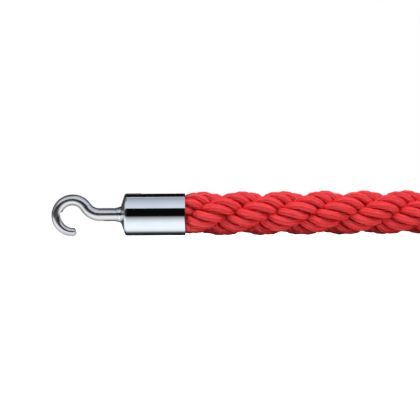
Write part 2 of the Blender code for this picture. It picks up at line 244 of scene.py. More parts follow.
def cloudiness(tree, place, scale, detail=2.0):
    """Soft noise from 0 to 1."""
    made = tree.nodes.new("ShaderNodeTexNoise")
    feed(tree, made.inputs["Vector"], place)
    feed(tree, made.inputs["Scale"], scale)
    feed(tree, made.inputs["Detail"], detail)
    return made.outputs["Fac"]


def raised(tree, height, depth, under=None):
    """A bump of that depth, in metres, on top of another one."""
    made = tree.nodes.new("ShaderNodeBump")
    feed(tree, made.inputs["Height"], height)
    feed(tree, made.inputs["Distance"], depth)
    if under:
        tree.links.new(under, made.inputs["Normal"])
    return made.outputs["Normal"]


def new_finish(name):
    """An empty material with its node tree and its shader."""
    finish = bpy.data.materials.new(name)
    finish.use_nodes = True
    return finish, finish.node_tree, finish.node_tree.nodes["Principled BSDF"]


def object_place(tree):
    """Where a point is on the piece, in metres in the frame."""
    return tree.nodes.new("ShaderNodeTexCoord").outputs["Object"]


def new_group(name, inputs, outputs):
    """An empty node group with named number sockets, and its inner input and output nodes."""
    group = bpy.data.node_groups.new(name, "ShaderNodeTree")
    for socket in inputs:
        group.interface.new_socket(socket, in_out="INPUT", socket_type="NodeSocketFloat")
    for socket in outputs:
        group.interface.new_socket(socket, in_out="OUTPUT", socket_type="NodeSocketFloat")
    return group, group.nodes.new("NodeGroupInput").outputs, group.nodes.new("NodeGroupOutput").inputs


def use_group(tree, group, **values):
    """The outputs of a placed node group, with its inputs fed by name."""
    made = tree.nodes.new("ShaderNodeGroup")
    made.node_tree = group
    for name, value in values.items():
        feed(tree, made.inputs[name], value)
    return made.outputs


# Twisted lines of a yarn: round ridges that run along it and wind slowly round it, with streaks along them
winding_inputs = ("Around", "Along", "Lines", "Turns")
twisted_lines, given, result = new_group("twisted_lines", winding_inputs, ("Height", "Streak"))
winding = reckon(twisted_lines, "MULTIPLY", given["Along"], given["Turns"])
lines = reckon(twisted_lines, "MULTIPLY_ADD", given["Around"], given["Lines"], winding)
ridge = reckon(twisted_lines, "SINE", reckon(twisted_lines, "MULTIPLY", lines, math.pi))
feed(twisted_lines, result["Height"], reckon(twisted_lines, "ABSOLUTE", ridge))
round_turn = reckon(twisted_lines, "MULTIPLY", lines, 2 * math.pi)
round_turn = reckon(twisted_lines, "DIVIDE", round_turn, given["Lines"])
streak_place = twisted_lines.nodes.new("ShaderNodeCombineXYZ")
feed(twisted_lines, streak_place.inputs["X"], reckon(twisted_lines, "COSINE", round_turn))
feed(twisted_lines, streak_place.inputs["Y"], reckon(twisted_lines, "SINE", round_turn))
feed(twisted_lines, streak_place.inputs["Z"], reckon(twisted_lines, "MULTIPLY", winding, STREAK_LENGTH))
streak = cloudiness(twisted_lines, streak_place.outputs[0], STREAK_FINENESS, 3.0)
feed(twisted_lines, result["Streak"], streak)

yarn, tree, shader = new_finish("red_yarn_laid")
winding_place = tree.nodes.new("ShaderNodeSeparateXYZ")
tree.links.new(tree.nodes.new("ShaderNodeUVMap").outputs["UV"], winding_place.inputs[0])
down_cord, round_cord = winding_place.outputs["X"], winding_place.outputs["Y"]
winding_round = {"Around": round_cord, "Along": down_cord}
yarns = use_group(tree, twisted_lines, **winding_round, Lines=YARN_LINES, Turns=YARN_TURNS)
fibres = use_group(tree, twisted_lines, **winding_round, Lines=FIBRE_LINES, Turns=FIBRE_TURNS)
patches = cloudiness(tree, object_place(tree), PATCH_FINENESS, 3.0)
fuzz = cloudiness(tree, object_place(tree), FUZZ_FINENESS, 2.0)
# The grooves between the yarns are painted darker, as shade; the random patches are the yarn's own uneven
# tone
groove = reckon(tree, "SUBTRACT", 1, reckon(tree, "POWER", yarns["Height"], GROOVE_CURVE))
painted_groove_shade = reckon(tree, "MULTIPLY", groove, GROOVE_PAINTED_SHADE)
patch_tone_and_painted_shade = reckon(tree, "MULTIPLY_ADD", patches, PATCH_SHADE, painted_groove_shade)
# The tops of the yarns are painted pinker in random streaks, as a highlight
streak_highlight_strength = value_between(tree, yarns["Streak"], *STREAK_HIGHLIGHT_RANGE)
painted_highlight_share = reckon(tree, "MULTIPLY", streak_highlight_strength, yarns["Height"])
yarn_with_painted_highlight = colour_between(tree, painted_highlight_share, YARN_RED, YARN_PAINTED_HIGHLIGHT)
feed(tree, shader.inputs["Base Color"], colour_between(tree, patch_tone_and_painted_shade, yarn_with_painted_highlight, YARN_DARK_AND_PAINTED_SHADE))
feed(tree, shader.inputs["Roughness"], value_between(tree, fuzz, *YARN_ROUGHNESS))
shader.inputs["Subsurface Weight"].default_value = 0.6
shader.inputs["Subsurface Radius"].default_value = (1.0, 0.12, 0.12)
shader.inputs["Subsurface Scale"].default_value = LIGHT_SINKS_IN
shader.inputs["Sheen Weight"].default_value = 0.08
shader.inputs["Sheen Roughness"].default_value = 0.4
shader.inputs["Sheen Tint"].default_value = (1.0, 0.55, 0.55, 1)
shader.inputs["Specular IOR Level"].default_value = 0.9
fine = reckon(tree, "MULTIPLY_ADD", fuzz, 0.6, fibres["Height"])
yarn_bump = raised(tree, yarns["Height"], YARN_DEPTH)
feed(tree, shader.inputs["Normal"], raised(tree, fine, FIBRE_DEPTH, yarn_bump))


def show(name, mesh, finish, body, slot, *stands_for):
    """Adds a finished mesh to the scene as a piece that rides on a body and stands for CAD nodes."""
    mesh.materials.clear()
    mesh.materials.append(finish)
    piece = bpy.data.objects.new(name, mesh)
    bpy.context.scene.collection.objects.link(piece)
    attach(piece, body)
    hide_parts(*stands_for)
    return piece


rope = show("laid_rope", rope_mesh, yarn, "rope", "red_yarn", "rope_run", "rope_hank")


# Whippings
# Cotton thread bound tightly round each end of the rope, so that it doesn't fray inside its ferrule.
# Each is the plain ring of the frame with a wound thread finish, painted darker between the turns as shade.
THREAD_LIGHT = (0.80, 0.76, 0.66, 1)
# The dark colour is a painted shade between the thread's turns
THREAD_PAINTED_SHADE = (0.42, 0.38, 0.30, 1)
THREAD_TURNS_PER_METRE = 1600

thread, tree, shader = new_finish("wound_thread")
thread_place = tree.nodes.new("ShaderNodeSeparateXYZ")
tree.links.new(object_place(tree), thread_place.inputs[0])
turns = use_group(tree, twisted_lines, Around=0.0, Along=thread_place.outputs["X"], Lines=1.0,
                  Turns=THREAD_TURNS_PER_METRE)
# Darker between the turns and lighter on them: painted shade
feed(tree, shader.inputs["Base Color"], colour_between(tree, turns["Height"], THREAD_PAINTED_SHADE, THREAD_LIGHT))
cotton = cloudiness(tree, object_place(tree), 900)
feed(tree, shader.inputs["Roughness"], value_between(tree, cotton, 0.7, 0.95))
feed(tree, shader.inputs["Normal"], raised(tree, turns["Height"], 0.2 * MM))


def dress(finish, *names):
    """Gives CAD nodes that keep their own shape a better finish."""
    for name in names:
        for material_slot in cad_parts[name].material_slots:
            material_slot.material = finish


dress(thread, "near_whipping", "far_whipping")


# Glue plugs
# Amber resin poured into each ferrule in front of the rope's end, which holds the rope in it.
# Each is the plain disc of the frame with a cloudy resin finish.
RESIN_PALE = (0.74, 0.60, 0.34, 1)
RESIN_DEEP = (0.46, 0.30, 0.12, 1)

resin, tree, shader = new_finish("poured_resin")
clouds = cloudiness(tree, object_place(tree), 220, 4.0)
feed(tree, shader.inputs["Base Color"], colour_between(tree, clouds, RESIN_DEEP, RESIN_PALE))
feed(tree, shader.inputs["Roughness"], value_between(tree, clouds, 0.15, 0.45))
shader.inputs["Coat Weight"].default_value = 0.4
feed(tree, shader.inputs["Normal"], raised(tree, clouds, 0.3 * MM))
dress(resin, "near_glue_plug", "far_glue_plug")


# Stop discs
# Pressed fibre board between the lock nut and the resin, which keeps the nut free to turn.
# Each is the plain disc of the frame with a felted finish.
FIBRE_BROWN = (0.30, 0.19, 0.10, 1)
FIBRE_PALE = (0.46, 0.33, 0.20, 1)

fibre_board, tree, shader = new_finish("pressed_fibre")
felting = cloudiness(tree, object_place(tree), 1400, 6.0)
feed(tree, shader.inputs["Base Color"], colour_between(tree, felting, FIBRE_BROWN, FIBRE_PALE))
feed(tree, shader.inputs["Roughness"], value_between(tree, felting, 0.75, 0.98))
feed(tree, shader.inputs["Normal"], raised(tree, felting, 0.15 * MM))
dress(fibre_board, "near_stop_disc", "far_stop_disc")


# Ferrules
# Drawn brass cups, polished and chromed: a plain barrel, a short cone and a bored nose for the hook's neck.
# They are turned from an outline, and the rope is glued into their open end.
FERRULE_RADIUS = 14.1 * MM
FERRULE_LENGTH = 43.0 * MM
FERRULE_WALL = 1.2 * MM
CONE_DEPTH = 2.8 * MM
CONE_ROUND = 1.3 * MM
NOSE_RADIUS = 5.6 * MM
NOSE_WALL = 1.5 * MM
NOSE_BORE = 4.3 * MM
NOSE_ROUND = 0.15 * MM
MOUTH_ROUND = 0.3 * MM
EDGE_SUPPORT = 0.5 * MM
TURNED_STEPS = 128
SAME_PLACE = 0.01 * MM
SHARP_EDGE = math.radians(35)
CHROME_BRIGHT = (0.90, 0.93, 0.96, 1)
CHROME_DULL = (0.80, 0.83, 0.86, 1)

# Marks of handling on polished metal: smears in large soft patches and hair lines of the polishing
handling_marks, given, result = new_group("handling_marks", ("Smear Size", "Line Size"), ("Smear", "Lines"))
marks_place = object_place(handling_marks)
stretched = handling_marks.nodes.new("ShaderNodeMapping")
stretched.inputs["Scale"].default_value = (12, 1, 1)
handling_marks.links.new(marks_place, stretched.inputs["Vector"])
feed(handling_marks, result["Smear"], cloudiness(handling_marks, marks_place, given["Smear Size"], 4.0))
feed(handling_marks, result["Lines"],
     cloudiness(handling_marks, stretched.outputs["Vector"], given["Line Size"], 3.0))

chrome, tree, shader = new_finish("polished_chrome")
handled = use_group(tree, handling_marks, **{"Smear Size": 90.0, "Line Size": 300.0})
feed(tree, shader.inputs["Base Color"], colour_between(tree, handled["Smear"], CHROME_BRIGHT, CHROME_DULL))
shader.inputs["Metallic"].default_value = 1.0
polish = reckon(tree, "MULTIPLY_ADD", handled["Lines"], 0.4, reckon(tree, "MULTIPLY", handled["Smear"], 0.6))
feed(tree, shader.inputs["Roughness"], value_between(tree, polish, 0.02, 0.11))
feed(tree, shader.inputs["Normal"], raised(tree, handled["Smear"], 0.010 * MM))


def lathe(outline, steps=TURNED_STEPS):
    """A bmesh turned about the X axis from a closed outline of (x, radius) points."""
    shape = bmesh.new()
    corners = [shape.verts.new((x, 0, radius)) for x, radius in outline]
    sides = [shape.edges.new(side) for side in zip(corners, corners[1:] + corners[:1])]
    bmesh.ops.spin(shape, geom=corners + sides, cent=(0, 0, 0), axis=(1, 0, 0), angle=2 * math.pi,
                   steps=steps, use_merge=True)
    bmesh.ops.remove_doubles(shape, verts=shape.verts[:], dist=SAME_PLACE / 10)
    return shape


def round_edge(shape, x, radius, size, segments=4):
    """Rounds the ring of edges at that place along a turned shape and that radius."""
    ring = []
    for edge in shape.edges:
        spots = [(corner.co.x, math.hypot(corner.co.y, corner.co.z)) for corner in edge.verts]
        if all(abs(spot[0] - x) < SAME_PLACE and abs(spot[1] - radius) < SAME_PLACE for spot in spots):
            ring.append(edge)
    bmesh.ops.bevel(shape, geom=ring, offset=size, offset_type="OFFSET", affect="EDGES", segments=segments,
                    profile=0.5, material=-1)


def to_mesh(name, shape, move, turned=0.0):
    """The finished mesh of a shape made at a ferrule's mouth: turned about X, then put at its place."""
    bmesh.ops.recalc_face_normals(shape, faces=shape.faces[:])
    bmesh.ops.rotate(shape, verts=shape.verts[:], cent=(0, 0, 0), matrix=Matrix.Rotation(turned, 3, "X"))
    bmesh.ops.translate(shape, verts=shape.verts[:], vec=move)
    mesh = bpy.data.meshes.new(name)
    shape.to_mesh(mesh)
    shape.free()
    mesh.shade_smooth()
    mesh.set_sharp_from_angle(angle=SHARP_EDGE)
    return mesh


nose_x = -FERRULE_LENGTH
cone_x = nose_x + CONE_DEPTH
inner_radius = FERRULE_RADIUS - FERRULE_WALL
inner_nose_x = nose_x + NOSE_WALL
ferrule_outline = [
    (0, FERRULE_RADIUS), (-MOUTH_ROUND - EDGE_SUPPORT, FERRULE_RADIUS),
    (cone_x + CONE_ROUND + EDGE_SUPPORT, FERRULE_RADIUS), (cone_x, FERRULE_RADIUS),
    (nose_x, NOSE_RADIUS), (nose_x, NOSE_BORE),
    (inner_nose_x, NOSE_BORE), (inner_nose_x, NOSE_RADIUS),
    (inner_nose_x + CONE_DEPTH, inner_radius), (0, inner_radius),
]
for end, mouth in both_ends:
    barrel = lathe(ferrule_outline)
    round_edge(barrel, cone_x, FERRULE_RADIUS, CONE_ROUND)
    round_edge(barrel, nose_x, NOSE_RADIUS, NOSE_ROUND)
    round_edge(barrel, 0, FERRULE_RADIUS, MOUTH_ROUND)
    round_edge(barrel, 0, inner_radius, MOUTH_ROUND)
    barrel_mesh = to_mesh(f"{end}_barrel", barrel, mouth)
    show(f"{end}_barrel", barrel_mesh, chrome, "rope", "chrome", f"{end}_ferrule")


# Neck bushes
# Small flanged bushes of chromed brass, pressed into each nose: the hook's neck turns in them.
# Only the flange shows, as a short flare between the cone and the hook's collar, with a seam on each side.
NECK_SPACE = 1.9 * MM
SEAM = 0.08 * MM
FLANGE_RADIUS = 4.95 * MM
FLANGE_SEAT_RADIUS = 5.45 * MM
FLANGE_ROUND = 0.12 * MM
SLEEVE_RADIUS = 4.0 * MM
SLEEVE_BORE = 3.12 * MM
SLEEVE_INSIDE = 1.0 * MM

collar_back = nose_x - NECK_SPACE
flange_back = nose_x - SEAM
flange_front = collar_back + SEAM
sleeve_end = inner_nose_x + SLEEVE_INSIDE
bush_outline = [
    (flange_front, SLEEVE_BORE), (flange_front, FLANGE_RADIUS), (flange_back, FLANGE_SEAT_RADIUS),
    (flange_back, SLEEVE_RADIUS), (sleeve_end, SLEEVE_RADIUS), (sleeve_end, SLEEVE_BORE),
]
for end, mouth in both_ends:
    bush = lathe(bush_outline)
    round_edge(bush, flange_front, FLANGE_RADIUS, FLANGE_ROUND)
    round_edge(bush, flange_back, FLANGE_SEAT_RADIUS, FLANGE_ROUND)
    bush_mesh = to_mesh(f"{end}_collar_ring", bush, mouth)
    show(f"{end}_collar_ring", bush_mesh, chrome, "rope", "chrome", f"{end}_neck_bush")


# Hooks
# Steel rod, forged with a collar and a thinner neck, drawn down to the tip, bent cold, polished and chromed.
# The neck goes through the bush and is held by a nut inside, so each hook turns freely.
NECK_RADIUS = 3.0 * MM
NECK_CHAMFER = 0.4 * MM
NECK_END = -29.5 * MM
COLLAR_RADIUS = 4.85 * MM
COLLAR_ROUND = 0.12 * MM
COLLAR_LAND = 0.6 * MM
COLLAR_FLARE = 1.9 * MM
SHANK_RADIUS = 4.4 * MM
BEND_START_RADIUS = 3.9 * MM
TIP_RADIUS = 2.95 * MM
TIP_ROUND = 2.4 * MM
LOOP_RADIUS = 10.75 * MM
LOOP_X = -75.325 * MM
LOOP_Z = -0.75 * MM
BEND_RADIUS = 11.0 * MM
LOOP_END = math.radians(272.5)
FLARE_STEPS = 6
BEND_STEPS = 20
LOOP_STEPS = 72
TIP_STEPS = 10
ROD_SIDES = 48
FAR_HOOK_TURN = math.pi
ROD_BRIGHT = (0.88, 0.88, 0.90, 1)
ROD_DULL = (0.74, 0.74, 0.77, 1)

rod_chrome, tree, shader = new_finish("rod_chrome")
handled = use_group(tree, handling_marks, **{"Smear Size": 160.0, "Line Size": 500.0})
feed(tree, shader.inputs["Base Color"], colour_between(tree, handled["Smear"], ROD_BRIGHT, ROD_DULL))
shader.inputs["Metallic"].default_value = 1.0
feed(tree, shader.inputs["Roughness"], value_between(tree, handled["Lines"], 0.16, 0.26))
feed(tree, shader.inputs["Normal"], raised(tree, handled["Smear"], 0.015 * MM))

flare_end = collar_back - COLLAR_FLARE
bend_reach = LOOP_RADIUS + BEND_RADIUS
bend_rise = BEND_RADIUS - LOOP_Z
bend_x = LOOP_X + math.sqrt(bend_reach**2 - bend_rise**2)
loop_start = math.asin(bend_rise / bend_reach)
# Stations along the rod: x, z, heading and radius
rod = [(NECK_END, 0, 0, NECK_RADIUS - NECK_CHAMFER), (NECK_END - NECK_CHAMFER, 0, 0, NECK_RADIUS)]
rod += [(collar_back, 0, 0, NECK_RADIUS), (collar_back, 0, 0, COLLAR_RADIUS - COLLAR_ROUND)]
for step in range(1, FLARE_STEPS + 1):
    turn = math.pi / 2 * step / FLARE_STEPS
    rod.append((collar_back - COLLAR_ROUND * (1 - math.cos(turn)), 0, 0,
                COLLAR_RADIUS - COLLAR_ROUND * (1 - math.sin(turn))))
land_end = collar_back - COLLAR_LAND
for step in range(FLARE_STEPS + 1):
    part = step / FLARE_STEPS
    fall = (1 - math.cos(math.pi * part)) / 2
    rod.append((land_end + part * (flare_end - land_end), 0, 0,
                COLLAR_RADIUS + fall * (SHANK_RADIUS - COLLAR_RADIUS)))
bend_sweep = math.pi / 2 - loop_start
for step in range(BEND_STEPS):
    part = step / BEND_STEPS
    turn = part * bend_sweep
    rod.append((bend_x - BEND_RADIUS * math.sin(turn), BEND_RADIUS * (1 - math.cos(turn)), turn,
                SHANK_RADIUS + part * (BEND_START_RADIUS - SHANK_RADIUS)))
for step in range(LOOP_STEPS + 1):
    part = step / LOOP_STEPS
    turn = loop_start + part * (LOOP_END - loop_start)
    rod.append((LOOP_X + LOOP_RADIUS * math.cos(turn), LOOP_Z + LOOP_RADIUS * math.sin(turn),
                math.pi / 2 - turn, BEND_START_RADIUS + part * (TIP_RADIUS - BEND_START_RADIUS)))
end_x, end_z, end_heading, _ = rod[-1]
for step in range(1, TIP_STEPS):
    turn = math.pi / 2 * step / TIP_STEPS
    reach = TIP_ROUND * math.sin(turn)
    rod.append((end_x - reach * math.cos(end_heading), end_z + reach * math.sin(end_heading), end_heading,
                TIP_RADIUS * math.cos(turn)))


def ring_place(station):
    """Where a ring of the rod goes: facing along the rod, at its place and size."""
    x, z, heading, radius = station
    facing = Matrix.Rotation(heading - math.pi / 2, 4, "Y")
    return Matrix.Translation((x, 0, z)) @ facing @ Matrix.Scale(radius, 4)


def draw_rod(rings, sides):
    """A bmesh drawn out ring by ring through the stations, with both ends closed."""
    shape = bmesh.new()
    bmesh.ops.create_circle(shape, cap_ends=True, segments=sides, radius=1, matrix=ring_place(rings[0]))
    ring = shape.edges[:]
    for before, after in zip(rings, rings[1:]):
        drawn = bmesh.ops.extrude_edge_only(shape, edges=ring)["geom"]
        corners = [item for item in drawn if isinstance(item, bmesh.types.BMVert)]
        bmesh.ops.transform(shape, matrix=ring_place(after) @ ring_place(before).inverted(), verts=corners)
        ring = [item for item in drawn if isinstance(item, bmesh.types.BMEdge)
                and all(corner in corners for corner in item.verts)]
    bmesh.ops.contextual_create(shape, geom=ring)
    return shape


for end, mouth, turned in (("near", near_mouth, 0.0), ("far", far_mouth, FAR_HOOK_TURN)):
    hook_mesh = to_mesh(f"{end}_bent_hook", draw_rod(rod, ROD_SIDES), mouth, turned)
    show(f"{end}_bent_hook", hook_mesh, rod_chrome, f"{end}_swivel", "chrome", f"{end}_hook")


# Washers and lock nuts
# Plain zinc plated steel, inside the ferrules: the nut and its washer hold the hook's neck in its bush.
# They are the solids of the frame with a dull plated finish.
ZINC_BRIGHT = (0.62, 0.63, 0.64, 1)
ZINC_DULL = (0.40, 0.41, 0.43, 1)

zinc, tree, shader = new_finish("zinc_plate")
plated = use_group(tree, handling_marks, **{"Smear Size": 260.0, "Line Size": 700.0})
feed(tree, shader.inputs["Base Color"], colour_between(tree, plated["Smear"], ZINC_DULL, ZINC_BRIGHT))
shader.inputs["Metallic"].default_value = 1.0
feed(tree, shader.inputs["Roughness"], value_between(tree, plated["Lines"], 0.28, 0.5))
feed(tree, shader.inputs["Normal"], raised(tree, plated["Lines"], 0.02 * MM))
dress(zinc, "near_washer", "far_washer", "near_lock_nut", "far_lock_nut")


# Storage strap
# Black woven strap, wrapped once round both runs and closed on itself on top with hook-and-loop tape.
# It is bent from a flat strip along its outline, then given its thickness, and its edges are rounded.
STRAP_WIDTH = 20 * MM
STRAP_THICKNESS = 1.1 * MM
STRAP_ROOM = 0.6 * MM
STRAP_START = 2.0 * MM
STRAP_END = 6.0 * MM
STRAP_LIFT = 0.3 * MM
STRAP_EDGE = 0.3 * MM
STRAP_ARC_STEPS = 24
STRAP_FLAT_STEPS = 10
OUTLINE_DIGITS = 7
WAIST_RADIUS = 12.7 * MM
WEBBING_BLACK = (0.018, 0.018, 0.020, 1)
# The grey is both the strap's random lint tone and a painted highlight on the tops of the weave
WEBBING_GREY_AND_HIGHLIGHT = (0.055, 0.055, 0.060, 1)
WEAVE_ALONG = 900.0
WEAVE_ACROSS = 1100.0

webbing, tree, shader = new_finish("woven_strap")
strip_place = tree.nodes.new("ShaderNodeSeparateXYZ")
tree.links.new(tree.nodes.new("ShaderNodeUVMap").outputs["UV"], strip_place.inputs[0])
down_strap, over_strap = strip_place.outputs["X"], strip_place.outputs["Y"]
rows = use_group(tree, twisted_lines, Around=0.0, Along=down_strap, Lines=1.0, Turns=WEAVE_ALONG)
ribs = use_group(tree, twisted_lines, Around=0.0, Along=over_strap, Lines=1.0, Turns=WEAVE_ACROSS)
weave = reckon(tree, "MULTIPLY", rows["Height"], ribs["Height"])
lint = cloudiness(tree, object_place(tree), 1800, 4.0)
# Lighter on the tops of the weave as a painted highlight, and at random from the lint
weave_highlight_and_lint_tone = reckon(tree, "MULTIPLY_ADD", lint, 0.4, reckon(tree, "MULTIPLY", weave, 0.6))
feed(tree, shader.inputs["Base Color"], colour_between(tree, weave_highlight_and_lint_tone, WEBBING_BLACK, WEBBING_GREY_AND_HIGHLIGHT))
feed(tree, shader.inputs["Roughness"], value_between(tree, lint, 0.6, 0.9))
shader.inputs["Sheen Weight"].default_value = 0.08
shader.inputs["Specular IOR Level"].default_value = 0.3
feed(tree, shader.inputs["Normal"], raised(tree, weave, 0.25 * MM))

near_y = float(np.interp(strap_out, rope_marks, rope_line[:, 1]))
far_y = float(np.interp(strap_back, rope_marks, rope_line[:, 1]))
strap_reach = WAIST_RADIUS + STRAP_ROOM
strap_rise = STRAP_THICKNESS + STRAP_LIFT
strap_line = []
for step in range(STRAP_FLAT_STEPS):
    part = step / STRAP_FLAT_STEPS
    strap_line.append((near_y + STRAP_START + part * (far_y - near_y - STRAP_START), strap_reach))
for step in range(STRAP_ARC_STEPS + 1):
    turn = math.pi / 2 - math.pi * step / STRAP_ARC_STEPS
    strap_line.append((far_y + strap_reach * math.cos(turn), strap_reach * math.sin(turn)))
for step in range(STRAP_ARC_STEPS + 1):
    part = step / STRAP_ARC_STEPS
    turn = -math.pi / 2 - math.pi * part
    out = strap_reach + strap_rise * max(0, 2 * part - 1)
    strap_line.append((near_y + out * math.cos(turn), out * math.sin(turn)))
for step in range(1, STRAP_FLAT_STEPS + 1):
    part = step / STRAP_FLAT_STEPS
    strap_line.append((near_y + part * (far_y - STRAP_END - near_y), strap_reach + strap_rise))

strip = bmesh.new()
strip_uv = strip.loops.layers.uv.new("UVMap")
corners = [strip.verts.new((strap_x - STRAP_WIDTH / 2, y, z + near_mouth.z)) for y, z in strap_line]
edges = [strip.edges.new(pair) for pair in zip(corners, corners[1:])]
strap_marks = [0.0]
for edge in edges:
    strap_marks.append(strap_marks[-1] + edge.calc_length())
drawn = bmesh.ops.extrude_edge_only(strip, edges=edges)["geom"]
moved = [item for item in drawn if isinstance(item, bmesh.types.BMVert)]
bmesh.ops.translate(strip, verts=moved, vec=(STRAP_WIDTH, 0, 0))


def outline_place(corner):
    """The place of a corner on the strap's outline, alike on both edges of the strip."""
    return round(corner.co.y, OUTLINE_DIGITS), round(corner.co.z, OUTLINE_DIGITS)


length_at = {outline_place(corner): mark for corner, mark in zip(corners, strap_marks)}
for face in strip.faces:
    for loop in face.loops:
        loop[strip_uv].uv = (length_at[outline_place(loop.vert)], loop.vert.co.x - strap_x)
bmesh.ops.recalc_face_normals(strip, faces=strip.faces[:])
bmesh.ops.solidify(strip, geom=strip.faces[:], thickness=STRAP_THICKNESS)
rims = [edge for edge in strip.edges if edge.calc_face_angle(0) > SHARP_EDGE]
bmesh.ops.bevel(strip, geom=rims, offset=STRAP_EDGE, segments=2, profile=0.5, affect="EDGES", material=-1)
strap_mesh = bpy.data.meshes.new("wrapped_strap")
strip.to_mesh(strap_mesh)
strip.free()
strap_mesh.shade_smooth()
strap_mesh.set_sharp_from_angle(angle=SHARP_EDGE)
show("wrapped_strap", strap_mesh, webbing, "rope", "black_webbing", "storage_tie")


# Studio
# A white floor and white all round, under a soft long lamp; cards that only reflections see band the metal,
# and dark floor cards under the ferrule and the rope are painted shadow in those reflections.
# The camera stands level with the rope, square to it, and frames the end as the photograph does.
PIXEL = 2 / 3 * MM
FRAME_PIXELS = 420
MOUTH_PIXEL = 185.5
AXIS_PIXEL = 214
CAMERA_DISTANCE = 1.0
FLOOR_SIZE = 16.0
FLOOR_WHITE = (0.90, 0.90, 0.90, 1)
FLOOR_PAPER = (0.93, 0.93, 0.93, 1)
FLOOR_GLOW = 0.75
ROOM_LIGHT = 0.48
LAMP_HEIGHT = 0.8
LAMP_FORWARD = -0.20
LAMP_ALONG = 0.20
LAMP_LENGTH = 1.4
LAMP_DEPTH = 0.3
LAMP_POWER = 9.4
CAMERA_ROLL = math.radians(0.4)
# Edges of the cards along the rope, in metres from the near mouth
LEFT = -0.8
SHANK_EDGE = -0.064
COLLAR_EDGE = -0.056
FRONT_SPLIT = -0.05
CONE_EDGE = -0.0445
BARREL_EDGE = -0.035
ROPE_EDGE = 0.002
RIGHT = 0.9
# Edges of the cards in depth, in metres from the near run's middle
FRONT = -0.80
FRONT_NEAR = -0.10
HOOK_TOP_FRONT = -0.07
CONE_FLOOR_FRONT = 0.003
FLOOR_BACK = 0.006
BACK_NEAR = 0.12
OVERHEAD_BACK = 0.13
BACK = 0.25
# Edges of the cards in height, in metres from the floor
LOW = 0.05 * MM
FRONT_TOP = 0.076
BACK_FOOT = 0.14
HOOK_CEILING = 0.30
CEILING = 0.50
BACK_TOP = 0.77
# Tints of the cards, and their shades from front to back or from the foot up
COOL = (0.92, 0.99, 1.13)
PALE = (0.95, 0.99, 1.04)
PLAIN = (1.0, 1.0, 1.0)
OVERHEAD_SHADES = ((FRONT, 0.76), (-0.40, 0.75), (-0.19, 0.62), (0.07, 0.37), (OVERHEAD_BACK, 0.27))
# Near its back edge, under the ferrule, the floor card turns dark: a painted shadow of the ferrule on the
# floor, seen in the chrome
FLOOR_LEVELS_AND_PAINTED_SHADOW = (
    (FRONT_NEAR, 0.02), (-0.076, 0.15), (-0.054, 0.38), (-0.034, 0.69), (-0.025, 0.92), (-0.019, 1.05),
    (-0.012, 1.08), (-0.0088, 0.94), (-0.0058, 0.03), (FLOOR_BACK, 0.01),
)
HOOK_FLOOR_SHADES = (
    (FRONT_NEAR, 0.06), (-0.05, 0.50), (-0.025, 1.0), (-0.009, 1.0), (-0.004, 0.62), (0.015, 0.45),
    (0.03, 0.08), (BACK_NEAR, 0.06),
)
HOOK_TOP_SHADES = ((HOOK_TOP_FRONT, 0.24), (BACK_NEAR, 0.12))
CONE_FLOOR_SHADES = ((CONE_FLOOR_FRONT, 0.03), (BACK_NEAR, 0.03))
# The rope's floor card is dark all over: a painted shadow of the rope on the floor, seen in its gloss
ROPE_PAINTED_SHADOW_SHADES = ((FRONT_NEAR, 0.10), (BACK_NEAR, 0.02))
FRONT_SHADES = ((0, 0.003), (FRONT_TOP, 0.003))
HOOK_FRONT_SHADES = ((0, 0.03), (FRONT_TOP, 0.03))
BACK_SHADES = ((BACK_FOOT, 0.004), (BACK_TOP, 0.004))
HOOK_BACK_SHADES = ((0, 0.06), (BACK_FOOT, 0.06))
LEFT_SHADES = ((0, 0.25), (CEILING, 0.25))
RIGHT_SHADES = ((0, 0.30), (CEILING, 0.30))
# Cards that only reflections see: two corners, the shades along the card's depth or height, and its tint
CARDS = {
    "overhead": ((LEFT, FRONT, CEILING), (RIGHT, OVERHEAD_BACK, CEILING), OVERHEAD_SHADES, COOL),
    "floor": ((CONE_EDGE, FRONT_NEAR, LOW), (ROPE_EDGE, FLOOR_BACK, LOW), FLOOR_LEVELS_AND_PAINTED_SHADOW, PALE),
    # This card is a painted shadow of the rope on the floor, seen only in reflections
    "rope_painted_shadow": ((ROPE_EDGE, FRONT_NEAR, LOW), (RIGHT, BACK_NEAR, LOW), ROPE_PAINTED_SHADOW_SHADES, PLAIN),
    "front": ((FRONT_SPLIT, FRONT_NEAR, 0), (RIGHT, FRONT_NEAR, FRONT_TOP), FRONT_SHADES, PLAIN),
    "back": ((LEFT, BACK, BACK_FOOT), (RIGHT, BACK, BACK_TOP), BACK_SHADES, PLAIN),
    "hook_front": ((LEFT, FRONT_NEAR, 0), (FRONT_SPLIT, FRONT_NEAR, FRONT_TOP), HOOK_FRONT_SHADES, PLAIN),
    "hook_back": ((LEFT, BACK_NEAR, 0), (BARREL_EDGE, BACK_NEAR, BACK_FOOT), HOOK_BACK_SHADES, PLAIN),
    "hook_top": (
        (LEFT, HOOK_TOP_FRONT, HOOK_CEILING), (SHANK_EDGE, BACK_NEAR, HOOK_CEILING), HOOK_TOP_SHADES, PLAIN,
    ),
    "hook_floor": ((LEFT, FRONT_NEAR, LOW), (CONE_EDGE, BACK_NEAR, LOW), HOOK_FLOOR_SHADES, PLAIN),
    "cone_floor": (
        (COLLAR_EDGE, CONE_FLOOR_FRONT, 2 * LOW), (CONE_EDGE, BACK_NEAR, 2 * LOW), CONE_FLOOR_SHADES, PLAIN,
    ),
    "left": ((LEFT, FRONT, 0), (LEFT, BACK, CEILING), LEFT_SHADES, PLAIN),
    "right": ((RIGHT, FRONT, 0), (RIGHT, BACK, CEILING), RIGHT_SHADES, PLAIN),
}

scene = bpy.context.scene
scene.view_settings.view_transform = "Standard"

